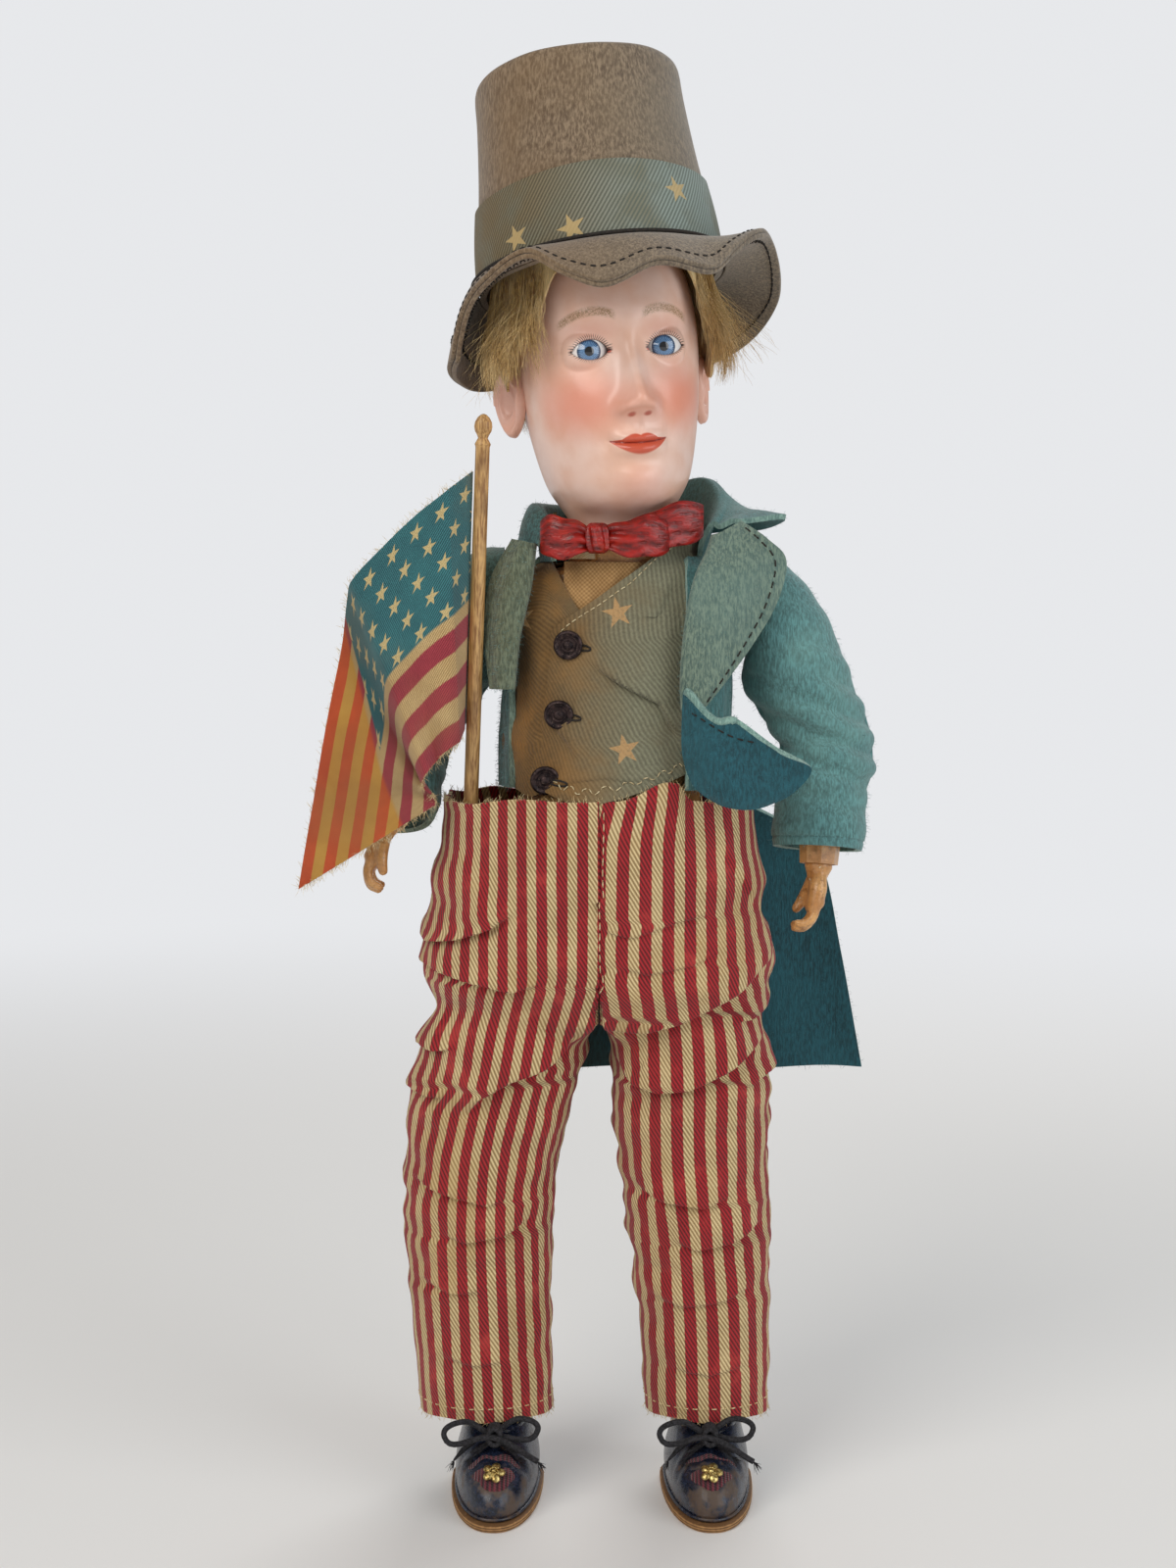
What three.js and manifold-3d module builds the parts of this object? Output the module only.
// A dressed bisque character doll: a hollow porcelain socket head with glass eyes and a mohair wig,
// on a ball-jointed composition body that is strung with elastic. It wears a felt top hat and tailcoat,
// a starred waistcoat, striped trousers and leather shoes, and carries a small flag on a stick.
// Millimetres, +Z up. The doll faces -Y, and +X is the viewer's right.
import * as THREE from "three";
import { mergeVertices } from "three/addons/utils/BufferGeometryUtils.js";
import Module from "manifold-3d";

const wasm = await Module();
wasm.setup();

// Driving dimensions
const HIP_HEIGHT = 152; // floor to the hip ball's centre
const HIP_SPREAD = 20; // middle of the body to a hip ball
const KNEE_HEIGHT = 84;
const KNEE_SPREAD = 28.5;
const ANKLE_HEIGHT = 24;
const ANKLE_BACK = 6; // how far an ankle stands behind the hips
const FOOT_SPREAD = 30;
const BODY_LEAN = 3; // degrees that the upper body leans to the viewer's right
const SHOULDER_HEIGHT = 255;
const SHOULDER_SPREAD = 37;
const NECK_HEIGHT = 266; // floor to the middle of the neck ball
const UPPER_ARM_LENGTH = 44;
const FOREARM_LENGTH = 36;
const HAND_LENGTH = 20;
const HEAD_TURN = 13; // degrees to the viewer's right
const HEAD_ROLL = -5; // degrees, crown to the viewer's left
const CHIN_HEIGHT = 15; // these four stand above the neck ball's centre
const MOUTH_HEIGHT = 29.5;
const NOSE_HEIGHT = 39;
const EYE_HEIGHT = 54.5;
const EYE_RADIUS = 6;
const EYE_SPREAD = 10.2;
const EYE_DEPTH = 18.2; // neck axis to the middle of an eye
const BISQUE_WALL = 2.6;
const NECK_BALL_RADIUS = 13;
const CROWN_OPENING_RADIUS = 14;
const SHOULDER_BALL_RADIUS = 8;
const ELBOW_BALL_RADIUS = 6.4;
const WRIST_BALL_RADIUS = 4.2;
const HIP_BALL_RADIUS = 11;
const KNEE_BALL_RADIUS = 8.4;
const COMPOSITION_WALL = 4;
const CLEARANCE = 0.35; // between neighbouring pieces
const SOCKET_GAP = 0.8; // between a ball and its socket
const ELASTIC_RADIUS = 0.9;
const ELASTIC_BORE = 3.2;
const HOOK_WIRE_RADIUS = 0.6;
const HOOK_RING_RADIUS = 1.9;
const HAT_SEAT = 74; // neck ball to the hat's lower edge
const HAT_TILT = 10; // degrees that the hat leans back on the head
const CROWN_HALF_WIDTH = 33.6;
const CROWN_HALF_DEPTH = 35.4;
const CROWN_TOP_SHARE = 0.83; // top of the crown against its lower edge
const CROWN_HEIGHT = 57;
const FELT_THICKNESS = 1.8;
const BAND_HEIGHT = 20;
const BAND_THICKNESS = 0.7;
const CLOTH_THICKNESS = 1.2;
const TROUSER_TOP = 200;
const TROUSER_HEM = 24;
const WAISTCOAT_HEM = 202;
const COAT_WAIST = 203;
const TAIL_HEM = 115;
const BUTTON_RADIUS = 4;
const BUTTON_THICKNESS = 2;
const SOLE_THICKNESS = 2;
const LEATHER_THICKNESS = 1.1;
const SOCK_THICKNESS = 0.7;
const LACE_RADIUS = 0.8;
const STICK_RADIUS = 2;
const STICK_LENGTH = 114;
const FLAG_THICKNESS = 0.8;

const TURN = 2 * Math.PI;
const { degToRad, clamp } = THREE.MathUtils;
const V = (x, y, z) => new THREE.Vector3(x, y, z);

// How far the middle of the upper body stands to the viewer's right at a height.
const lean = (z) => Math.max(0, z - HIP_HEIGHT) * Math.tan(degToRad(BODY_LEAN));
const hips = (h) => HIP_HEIGHT + h;

// Closed surfaces

function signedVolume(position, index) {
  let sum = 0;
  const [a, b, c] = [V(), V(), V()];
  for (let i = 0; i < index.length; i += 3) {
    a.fromArray(position, 3 * index[i]);
    b.fromArray(position, 3 * index[i + 1]);
    c.fromArray(position, 3 * index[i + 2]);
    sum += a.dot(b.cross(c)) / 6;
  }
  return sum;
}

function closedGeometry(position, index) {
  if (signedVolume(position, index) < 0) index.reverse();
  const made = new THREE.BufferGeometry();
  made.setAttribute("position", new THREE.Float32BufferAttribute(position, 3));
  made.setIndex(index);
  return made;
}

// A closed surface through rings of equally many points. It has a cap at each end, or with loop its
// last ring joins its first.
function skin(rings, loop = false) {
  const n = rings[0].length;
  const position = rings.flat().flatMap((p) => p.toArray());
  const index = [];
  const spans = loop ? rings.length : rings.length - 1;
  for (let i = 0; i < spans; i++) {
    const here = i * n;
    const next = ((i + 1) % rings.length) * n;
    for (let j = 0; j < n; j++) {
      const k = (j + 1) % n;
      index.push(here + j, here + k, next + k, here + j, next + k, next + j);
    }
  }
  if (!loop) {
    [0, rings.length - 1].forEach((end, side) => {
      const middle = rings[end].reduce((sum, p) => sum.add(p), V(0, 0, 0)).divideScalar(n);
      const centre = position.length / 3;
      position.push(...middle.toArray());
      for (let j = 0; j < n; j++) {
        const pair = [end * n + j, end * n + ((j + 1) % n)];
        if (side === 0) pair.reverse();
        index.push(centre, ...pair);
      }
    });
  }
  return closedGeometry(position, index);
}

// A sheet of one thickness over rows of points; each row has equally many.
function slab(rows, thickness) {
  const across = rows[0].length;
  const down = rows.length;
  const at = (i, j) => rows[clamp(i, 0, down - 1)][clamp(j, 0, across - 1)];
  const faces = [-0.5, 0.5].map((side) =>
    rows.map((row, i) =>
      row.map((p, j) => {
        const along = at(i + 1, j).clone().sub(at(i - 1, j));
        const beside = at(i, j + 1).clone().sub(at(i, j - 1));
        return p.clone().addScaledVector(along.cross(beside).normalize(), side * thickness);
      })
    )
  );
  const rings = rows.map((_, i) => [...faces[0][i], ...faces[1][i].slice().reverse()]);
  const position = rings.flat().flatMap((p) => p.toArray());
  const n = 2 * across;
  const index = [];
  for (let i = 0; i + 1 < down; i++)
    for (let j = 0; j < n; j++) {
      const k = (j + 1) % n;
      index.push(i * n + j, i * n + k, (i + 1) * n + k, i * n + j, (i + 1) * n + k, (i + 1) * n + j);
    }
  for (const end of [0, (down - 1) * n])
    for (let j = 0; j + 1 < across; j++) {
      const strip = [end + j, end + j + 1, end + n - 2 - j, end + j, end + n - 2 - j, end + n - 1 - j];
      index.push(...(end ? strip : strip.reverse()));
    }
  return closedGeometry(position, index);
}

function solidOf(geometry) {
  const plain = geometry.index ? geometry.clone() : mergeVertices(geometry.clone());
  for (const name of Object.keys(plain.attributes)) if (name !== "position") plain.deleteAttribute(name);
  const merged = mergeVertices(plain, 1e-4);
  return new wasm.Manifold(
    new wasm.Mesh({
      numProp: 3,
      vertProperties: new Float32Array(merged.attributes.position.array),
      triVerts: new Uint32Array(merged.index.array),
    })
  );
}

function geometryOf(solid) {
  const mesh = solid.getMesh();
  const made = new THREE.BufferGeometry();
  made.setAttribute("position", new THREE.BufferAttribute(new Float32Array(mesh.vertProperties), 3));
  made.setIndex(new THREE.BufferAttribute(new Uint32Array(mesh.triVerts), 1));
  return made;
}

const cut = (base, ...tools) =>
  geometryOf(tools.reduce((made, tool) => made.subtract(solidOf(tool)), solidOf(base)));
const join = (...pieces) =>
  geometryOf(pieces.map(solidOf).reduce((made, piece) => made.add(piece)));

// A ring of points at one height. front and back are how far it reaches to -Y and +Y, and a power
// over 2 makes it squarer.
function oval(z, halfWidth, front, back, { x = 0, y = 0, points = 20, power = 2 } = {}) {
  const shape = (c) => Math.sign(c) * Math.abs(c) ** (2 / power);
  return Array.from({ length: points }, (_, i) => {
    const a = (TURN * (i + 0.5)) / points;
    const s = shape(Math.sin(a));
    return V(x + halfWidth * shape(Math.cos(a)), y + (s < 0 ? front : back) * s, z);
  });
}

const ball = (radius, around = 10) => new THREE.SphereGeometry(radius, around, Math.round(around * 0.6));
const ballAt = (p, radius, around) => ball(radius, around).translate(p.x, p.y, p.z);

// A rod of one radius between two points.
function rod(from, to, radius, sides = 10) {
  const along = to.clone().sub(from);
  const made = new THREE.CylinderGeometry(radius, radius, along.length(), sides);
  made.applyQuaternion(new THREE.Quaternion().setFromUnitVectors(V(0, 1, 0), along.normalize()));
  const middle = from.clone().add(to).divideScalar(2);
  return made.translate(middle.x, middle.y, middle.z);
}

// A round wire or cord along a smooth path through points.
function cord(points, radius, { sides = 6, steps = 24, closed = false } = {}) {
  const section = new THREE.Shape(
    Array.from({ length: sides }, (_, i) => {
      const a = (TURN * i) / sides;
      return new THREE.Vector2(radius * Math.cos(a), radius * Math.sin(a));
    })
  );
  const path = new THREE.CatmullRomCurve3(points, closed, "centripetal");
  return new THREE.ExtrudeGeometry(section, { steps, extrudePath: path, bevelEnabled: false });
}

// A smooth value through stations of [where, value].
function through(stations, where) {
  const last = stations.length - 1;
  const i = clamp(stations.findIndex(([s]) => s > where) - 1, 0, last - 1);
  const here = where >= stations[last][0] ? last - 1 : i;
  const at = (k) => stations[clamp(k, 0, last)];
  const [a, b] = [at(here), at(here + 1)];
  const t = clamp((where - a[0]) / (b[0] - a[0]), 0, 1);
  const slope = (k) => (at(k + 1)[1] - at(k - 1)[1]) / (at(k + 1)[0] - at(k - 1)[0]);
  const width = b[0] - a[0];
  const [h, k] = [t * t * (3 - 2 * t), t * (1 - t) * (1 - t)];
  return a[1] + (b[1] - a[1]) * h + slope(here) * width * k - slope(here + 1) * width * t * t * (1 - t);
}

// Finishes
const finish = (color, roughness = 0.8, metalness = 0) =>
  new THREE.MeshStandardMaterial({ color, roughness, metalness });
const BISQUE = finish(0xe3b39a, 0.35);
const GLASS = finish(0x3c5f8c, 0.05);
const COMPOSITION = finish(0xc99a5e, 0.45);
const WOOD = finish(0xb07a45, 0.6);
const IRON = finish(0x5b5752, 0.5, 0.8);
const ELASTIC = finish(0xd8cdb4, 0.9);
const PLASTER = finish(0xe9e4d8, 0.95);
const MOHAIR = finish(0xb08a4a, 0.7);
const HAT_FELT = finish(0x6d5a45, 0.95);
const HAT_RIBBON = finish(0x7d7d69, 0.9);
const COAT_FELT = finish(0x2f5a5c, 0.95);
const SHIRTING = finish(0xc9a97c, 0.9);
const RED_SILK = finish(0xb01a12, 0.5);
const WAISTCOAT_TWILL = finish(0x77694c, 0.95);
const HORN = finish(0x2e211d, 0.4);
const TROUSER_TWILL = finish(0xb03a3a, 0.95);
const SHOE_LEATHER = finish(0x14171f, 0.35);
const SOLE_LEATHER = finish(0x5a4632, 0.7);
const SOCK_KNIT = finish(0x4a161c, 0.95);
const LACE_CORD = finish(0x101014, 0.9);
const GILT = finish(0xc8b070, 0.3, 0.9);
const FLAG_COTTON = finish(0xc98a5a, 0.9);

const doll = new THREE.Group();

function add(parent, name, geometry, material) {
  const mesh = new THREE.Mesh(geometry, material);
  mesh.name = name;
  parent.add(mesh);
  return mesh;
}


const LEFT = 1; // the doll's own left is the viewer's right
const RIGHT = -1;
const SIDES = [
  ["left", LEFT],
  ["right", RIGHT],
];

const hipAt = (side) => V(side * HIP_SPREAD, 0, HIP_HEIGHT);
const kneeAt = (side) => V(side * KNEE_SPREAD, 0, KNEE_HEIGHT);
const ankleAt = (side) => V(side * FOOT_SPREAD, ANKLE_BACK, ANKLE_HEIGHT);
const shoulderAt = (side) => V(lean(SHOULDER_HEIGHT) + side * SHOULDER_SPREAD, 0, SHOULDER_HEIGHT);
const neckAt = V(lean(NECK_HEIGHT), 0, NECK_HEIGHT);
const armElasticMiddle = V(lean(SHOULDER_HEIGHT), 4.5, SHOULDER_HEIGHT - 8); // behind the neck's hook

// Each arm's rest: degrees out from the body and degrees forward of straight down.
const ARM_REST = {
  [LEFT]: { upper: [27, 2], forearm: [-4, 10], hand: [-8, 6] },
  [RIGHT]: { upper: [32, -21], forearm: [7, 39], hand: [20, 8] },
};
function pointing(side, [out, forward]) {
  const [o, f] = [degToRad(out), degToRad(forward)];
  return V(side * Math.sin(o), -Math.cos(o) * Math.sin(f), -Math.cos(o) * Math.cos(f));
}
const elbowAt = (side) =>
  shoulderAt(side).addScaledVector(pointing(side, ARM_REST[side].upper), UPPER_ARM_LENGTH);
const wristAt = (side) =>
  elbowAt(side).addScaledVector(pointing(side, ARM_REST[side].forearm), FOREARM_LENGTH);

const towards = (from, to) => to.clone().sub(from).normalize();
const along = (from, to, distance) => from.clone().addScaledVector(towards(from, to), distance);

// Rings square to a line between two points. Stations are [distance from the start, radius].
function limbRings(from, to, stations, sides = 12) {
  const d = towards(from, to);
  const u = V(0, 1, 0).addScaledVector(d, -d.y).normalize();
  const v = d.clone().cross(u);
  return stations.map(([distance, radius]) =>
    Array.from({ length: sides }, (_, i) => {
      const a = (TURN * i) / sides;
      return from
        .clone()
        .addScaledVector(d, distance)
        .addScaledVector(u, radius * Math.cos(a))
        .addScaledVector(v, radius * Math.sin(a));
    })
  );
}

// All that lies on the far side of a plane, as a block to cut with.
function beyond(at, keep) {
  const reach = 900;
  const made = new THREE.BoxGeometry(reach, reach, reach).translate(0, 0, -reach / 2);
  made.applyQuaternion(new THREE.Quaternion().setFromUnitVectors(V(0, 0, 1), keep.clone().normalize()));
  return made.translate(at.x, at.y, at.z);
}

// Two blocks that trim a limb's end for its ball joint: one square to the limb and one slanted, so
// that the joint folds towards the open side.
const JOINT_SLANT = 50; // degrees
function jointTrim(centre, into, open, square) {
  const slant = degToRad(JOINT_SLANT);
  const side = open.clone().addScaledVector(into, -open.dot(into)).normalize();
  const leaning = into.clone().multiplyScalar(Math.cos(slant)).addScaledVector(side, -Math.sin(slant));
  return [
    beyond(centre.clone().addScaledVector(into, square), into),
    beyond(centre.clone().addScaledVector(leaning, CLEARANCE), leaning),
  ];
}

// A channel for the elastic. It starts a little behind its first point, so that two channels that
// meet there at an angle open into each other.
const bore = (from, to) => rod(along(from, to, -2), to, ELASTIC_BORE, 6);

// A wire hook: a ring at the end of a straight shank. The ring's hole looks along X.
function wireHook(ringAt, footAt, radius = HOOK_RING_RADIUS) {
  const ring = new THREE.TorusGeometry(radius, HOOK_WIRE_RADIUS, 4, 8).rotateY(Math.PI / 2);
  ring.translate(ringAt.x, ringAt.y, ringAt.z);
  return join(ring, rod(along(ringAt, footAt, radius), footAt, HOOK_WIRE_RADIUS, 4));
}

// Torso: a hollow composition shell with a socket for the neck and for each limb. Stations are
// [height above the hips, half width, front, back].
const TORSO_STATIONS = [
  [-11, 7, 8, 9],
  [-6, 20, 14, 17],
  [2, 29, 17, 20],
  [14, 30, 17.5, 20],
  [32, 25.8, 20, 15.6],
  [50, 25, 22.6, 15],
  [84, 27, 19.4, 16.5],
  [91, 28, 18, 16.5],
  [97, 33, 15.5, 15.5],
  [103, 33.5, 14.5, 14.5],
  [107, 29, 14.5, 14.5],
  [111, 17.4, 15, 15],
  [113, 15.3, 15, 15],
  [116, 15, 15, 15],
];
const bodyRings = (stations, extra = 0, points = 14) =>
  stations.map(([h, w, f, b]) =>
    oval(hips(h), w + extra, f + extra, b + extra, { x: lean(hips(h)), points, power: 2.2 })
  );
const HIP_SWING = [-10, 80]; // degrees forward that the sockets leave room for
const THIGH_NECK_RADIUS = 10.4;

// The slot that a thigh swings in, as a fan seen from the side.
function swingSlot(side) {
  const half = THIGH_NECK_RADIUS + 2 * CLEARANCE;
  const reach = 45;
  const spoke = (degrees, along, beside) => {
    const a = degToRad(degrees);
    return new THREE.Vector2(
      -Math.sin(a) * along + Math.cos(a) * beside,
      -Math.cos(a) * along - Math.sin(a) * beside
    );
  };
  const [back, forward] = HIP_SWING;
  const fan = new THREE.Shape([
    spoke(back, 0, half),
    spoke(back, reach, half),
    spoke(forward, reach, -half),
    spoke(forward, 0, -half),
    spoke(forward, -half * 0.4, -half * 0.9),
    spoke(back, -half * 0.4, half * 0.9),
  ]);
  const slot = new THREE.ExtrudeGeometry(fan, { depth: 2 * half, bevelEnabled: false }).translate(0, 0, -half);
  slot.applyMatrix4(new THREE.Matrix4().makeBasis(V(0, 1, 0), V(0, 0, 1), V(1, 0, 0)));
  return slot.translate(side * HIP_SPREAD, 0, HIP_HEIGHT);
}

function torsoShell() {
  const inside = TORSO_STATIONS.slice(3, 9);
  const sockets = SIDES.flatMap(([, side]) => [
    ballAt(shoulderAt(side), SHOULDER_BALL_RADIUS + SOCKET_GAP),
    ballAt(hipAt(side), HIP_BALL_RADIUS + SOCKET_GAP),
    rod(hipAt(side), V(side * 8, 0, hips(20)), ELASTIC_BORE, 5),
    swingSlot(side),
  ]);
  return cut(
    skin(bodyRings(TORSO_STATIONS)),
    skin(bodyRings(inside, -COMPOSITION_WALL, 10)),
    rod(V(lean(hips(80)), 0, hips(80)), neckAt, 2 * ELASTIC_BORE, 8),
    ...SIDES.map(([, side]) => bore(shoulderAt(side), armElasticMiddle)),
    ballAt(neckAt, NECK_BALL_RADIUS + SOCKET_GAP, 14),
    ...sockets
  );
}
add(doll, "torso", torsoShell(), COMPOSITION);

// Arms: an upper arm whose ball sits in the torso, a loose elbow ball, a forearm and a hand whose ball
// sits in the forearm. The elastic runs through them all.
const UPPER_ARM_STATIONS = [
  [2, 5.2],
  [10, 6.2],
  [24, 7.4],
  [UPPER_ARM_LENGTH - 4, 7.2],
  [UPPER_ARM_LENGTH, 7],
];
const FOREARM_STATIONS = [
  [0, 7],
  [10, 7.3],
  [24, 6.1],
  [FOREARM_LENGTH - 0.5, 5.3],
];
const ELBOW_INWARD = 0.45; // an elbow folds forward and a little towards the body
const WRIST_HOOK_RISE = 8;

function upperArm(side) {
  const [from, to] = [shoulderAt(side), elbowAt(side)];
  const solid = join(ballAt(from, SHOULDER_BALL_RADIUS), skin(limbRings(from, to, UPPER_ARM_STATIONS, 8)));
  return cut(
    solid,
    ballAt(to, ELBOW_BALL_RADIUS + SOCKET_GAP),
    bore(from, to),
    bore(from, along(from, armElasticMiddle, 12)),
    ...jointTrim(to, towards(to, from), V(-side * ELBOW_INWARD, -1, 0), 2.8)
  );
}

function elbowBall(side) {
  const at = elbowAt(side);
  return cut(ballAt(at, ELBOW_BALL_RADIUS), bore(at, shoulderAt(side)), bore(at, wristAt(side)));
}

function forearm(side) {
  const [from, to] = [elbowAt(side), wristAt(side)];
  return cut(
    skin(limbRings(from, to, FOREARM_STATIONS, 8)),
    ballAt(from, ELBOW_BALL_RADIUS + SOCKET_GAP),
    ballAt(to, WRIST_BALL_RADIUS + SOCKET_GAP, 8),
    bore(from, to),
    ...jointTrim(from, towards(from, to), V(-side * ELBOW_INWARD, -1, 0), 2.8)
  );
}

// A hand with its fingers a little curled. The palm faces the body.
const FINGERS = [
  [-3.6, 6.6],
  [-1.2, 7.6],
  [1.2, 7.2],
  [3.5, 6],
]; // place across the palm and length
function hand(side) {
  const wrist = wristAt(side);
  const down = pointing(side, ARM_REST[side].hand);
  const back = V(side, 0, 0).addScaledVector(down, -side * down.x).normalize();
  const across = down.clone().cross(back).normalize();
  const at = (d, a, b) =>
    wrist.clone().addScaledVector(down, d).addScaledVector(across, a).addScaledVector(back, b);
  const palm = skin(
    [
      [0.5, 3.2, 3],
      [4, 4, 3.2],
      [9, 5.2, 2.9],
      [12.5, 4.9, 2.4],
    ].map(([d, w, t]) =>
      Array.from({ length: 6 }, (_, i) => {
        const a = (TURN * i) / 6;
        return at(d, w * Math.cos(a), t * Math.sin(a));
      })
    )
  );
  const fingers = FINGERS.map(([a, length]) =>
    skin(
      [
        [10.5, a, 0, 1.15],
        [11 + length * 0.62, a * 1.05, -0.8, 1.15],
        [HAND_LENGTH - 7.6 + length, a * 1.08, -3.6, 0.9],
      ].map(([d, beside, lift, r]) =>
        [0, 1, 2, 3].map((i) => {
          const turn = (TURN * i) / 4;
          return at(d, beside + r * Math.cos(turn), lift + r * Math.sin(turn));
        })
      )
    )
  );
  const thumb = rod(at(5.5, -4, -0.5), at(12, -6.4, -2.6), 1.6, 4);
  return join(ballAt(wrist, WRIST_BALL_RADIUS, 8), palm, thumb, ...fingers);
}

for (const [name, side] of SIDES) {
  const wrist = wristAt(side);
  add(doll, `upper_arm_${name}`, upperArm(side), COMPOSITION);
  add(doll, `elbow_ball_${name}`, elbowBall(side), WOOD);
  add(doll, `forearm_${name}`, forearm(side), COMPOSITION);
  add(doll, `hand_${name}`, hand(side), COMPOSITION);
  const ring = along(wrist, elbowAt(side), WRIST_HOOK_RISE);
  const foot = along(wrist, elbowAt(side), WRIST_BALL_RADIUS + SOCKET_GAP);
  add(doll, `wrist_hook_${name}`, wireHook(ring, foot), IRON);
}

// Legs: a thigh whose ball sits in the torso, a loose knee ball, and a lower leg with its foot.
const thighLength = hipAt(LEFT).distanceTo(kneeAt(LEFT));
const shinLength = kneeAt(LEFT).distanceTo(ankleAt(LEFT));
const THIGH_STATIONS = [
  [4, 9.6],
  [14, THIGH_NECK_RADIUS],
  [26, THIGH_NECK_RADIUS + 0.3],
  [34, 12.4],
  [48, 11.6],
  [thighLength, 9.8],
];
const SHIN_STATIONS = [
  [0, 9.8],
  [12, 10.2],
  [24, 10.4],
  [42, 8],
  [shinLength, 6.8],
];
const LEG_HOOK_DROP = 30; // knee to the ring
// Stations are [height, half width, front and back of the ankle].
const FOOT_STATIONS = [
  [3.6, 9.7, 34.4, 11],
  [11, 9.8, 32.5, 11.3],
  [15, 8.9, 24, 10.5],
  [19, 8.2, 14, 9.6],
  [ANKLE_HEIGHT, 7.4, 9, 8.6],
];
const footRings = (side, stations, extra = 0, points = 10) =>
  stations.map(([z, w, f, b]) =>
    oval(z, w + extra, f + extra, b + extra, { x: side * FOOT_SPREAD, y: ANKLE_BACK, points, power: 2.2 })
  );

function thigh(side) {
  const [from, to] = [hipAt(side), kneeAt(side)];
  return cut(
    join(ballAt(from, HIP_BALL_RADIUS), skin(limbRings(from, to, THIGH_STATIONS, 10))),
    ballAt(to, KNEE_BALL_RADIUS + SOCKET_GAP),
    bore(from, to),
    bore(from, V(side * 8, 0, hips(20))),
    ...jointTrim(to, towards(to, from), V(0, 1, 0), 3)
  );
}

function kneeBall(side) {
  const at = kneeAt(side);
  return cut(ballAt(at, KNEE_BALL_RADIUS), bore(at, hipAt(side)), bore(at, ankleAt(side)));
}

function shin(side) {
  const [from, to] = [kneeAt(side), ankleAt(side)];
  return cut(
    join(skin(limbRings(from, to, SHIN_STATIONS, 10)), skin(footRings(side, FOOT_STATIONS))),
    ballAt(from, KNEE_BALL_RADIUS + SOCKET_GAP),
    bore(from, along(from, to, LEG_HOOK_DROP + HOOK_RING_RADIUS + 5)),
    ...jointTrim(from, towards(from, to), V(0, 1, 0), 3)
  );
}

for (const [name, side] of SIDES) {
  add(doll, `thigh_${name}`, thigh(side), COMPOSITION);
  add(doll, `knee_ball_${name}`, kneeBall(side), WOOD);
  add(doll, `shin_${name}`, shin(side), COMPOSITION);
  const ring = along(kneeAt(side), ankleAt(side), LEG_HOOK_DROP);
  const foot = along(ring, ankleAt(side), HOOK_RING_RADIUS + 5 - CLEARANCE);
  add(doll, `leg_hook_${name}`, wireHook(ring, foot), IRON);
}

// Footwear: a knitted sock, a leather upper on a flat sole, a cord lace in a bow and a gilt rosette.
const SOCK_TOP = 36;
const SHOE_TOP = 22;
const SOCK_STATIONS = [
  ...FOOT_STATIONS,
  [30, 8, 9.2, 8.4],
  [SOCK_TOP, 8.6, 10.2, 7.8],
];
const sockInside = CLEARANCE;
const sockOutside = sockInside + SOCK_THICKNESS;
const shoeInside = sockOutside + CLEARANCE;
const shoeOutside = shoeInside + LEATHER_THICKNESS;
const raised = (stations, by) => stations.map(([z, ...rest]) => [z + by, ...rest]);

function sock(side) {
  const inner = [...raised(SOCK_STATIONS, 0), [SOCK_TOP + 4, 8.8, 10.6, 7.6]];
  const outer = [[FOOT_STATIONS[0][0] - sockOutside, ...FOOT_STATIONS[0].slice(1).map((r) => r - 2)]];
  const bottom = [[FOOT_STATIONS[0][0] - sockInside, ...FOOT_STATIONS[0].slice(1).map((r) => r - 0.6)]];
  return cut(
    skin(footRings(side, [...outer, ...SOCK_STATIONS], sockOutside)),
    skin(footRings(side, [...bottom, ...inner], sockInside))
  );
}

function shoeUpper(side) {
  const floor = SOLE_THICKNESS + CLEARANCE;
  const shape = SOCK_STATIONS.filter(([z]) => z < SHOE_TOP);
  const top = [SHOE_TOP, 7.9, 11, 9.2];
  const low = [floor, 9.6, 33.6, 10.6];
  const throat = oval(0, 5.6, 9, 12, { x: side * FOOT_SPREAD, y: ANKLE_BACK - 10, points: 10 });
  const throatAt = (z) => throat.map((p) => V(p.x, p.y, z));
  return cut(
    skin(footRings(side, [low, ...shape, top], shoeOutside)),
    skin(footRings(side, [[floor - 1, 8.4, 32.4, 9.6], ...SOCK_STATIONS], shoeInside)),
    skin([throatAt(10), throatAt(SHOE_TOP + 8)])
  );
}

function shoeSole(side) {
  const at = { x: side * FOOT_SPREAD, y: ANKLE_BACK, points: 22, power: 2.2 };
  return skin([0, SOLE_THICKNESS].map((z) => oval(z, 13.4, 39, 14, at)));
}

// The lace crosses the throat and its bow lies in front of the trousers' hem. Its cord passes itself
// one cord's width apart.
function shoeLace(side) {
  const x = side * FOOT_SPREAD;
  const [y, z] = [ANKLE_BACK - 21.4, TROUSER_HEM - 2];
  const step = 2 * LACE_RADIUS + 0.4;
  const p = (dx, dz, layer) => V(x + dx, y - layer * step, z + dz);
  const bow = cord(
    [
      p(-11, -7, 0),
      p(0, 0, 0),
      p(8, 4, 0.3),
      p(12, 1, 0.7),
      p(0, 0, 1.2),
      p(-9, 4, 1.5),
      p(-14, 0, 1.8),
      p(0, 0, 2.4),
      p(12, -7, 2),
    ],
    LACE_RADIUS,
    { sides: 4, steps: 12 }
  );
  const knot = rod(V(x, y + 1.4, z), V(x, y - 2.9 * step, z), 2.1, 6);
  const middle = V(x, ANKLE_BACK - 20.8, 19.4);
  const ends = [LEFT, RIGHT].map((s) => rod(middle, V(x + s * 6, ANKLE_BACK - 23.5, 15.9), LACE_RADIUS, 4));
  return join(bow, knot, rod(V(x, y, z), middle, LACE_RADIUS, 4), ...ends);
}

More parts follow.
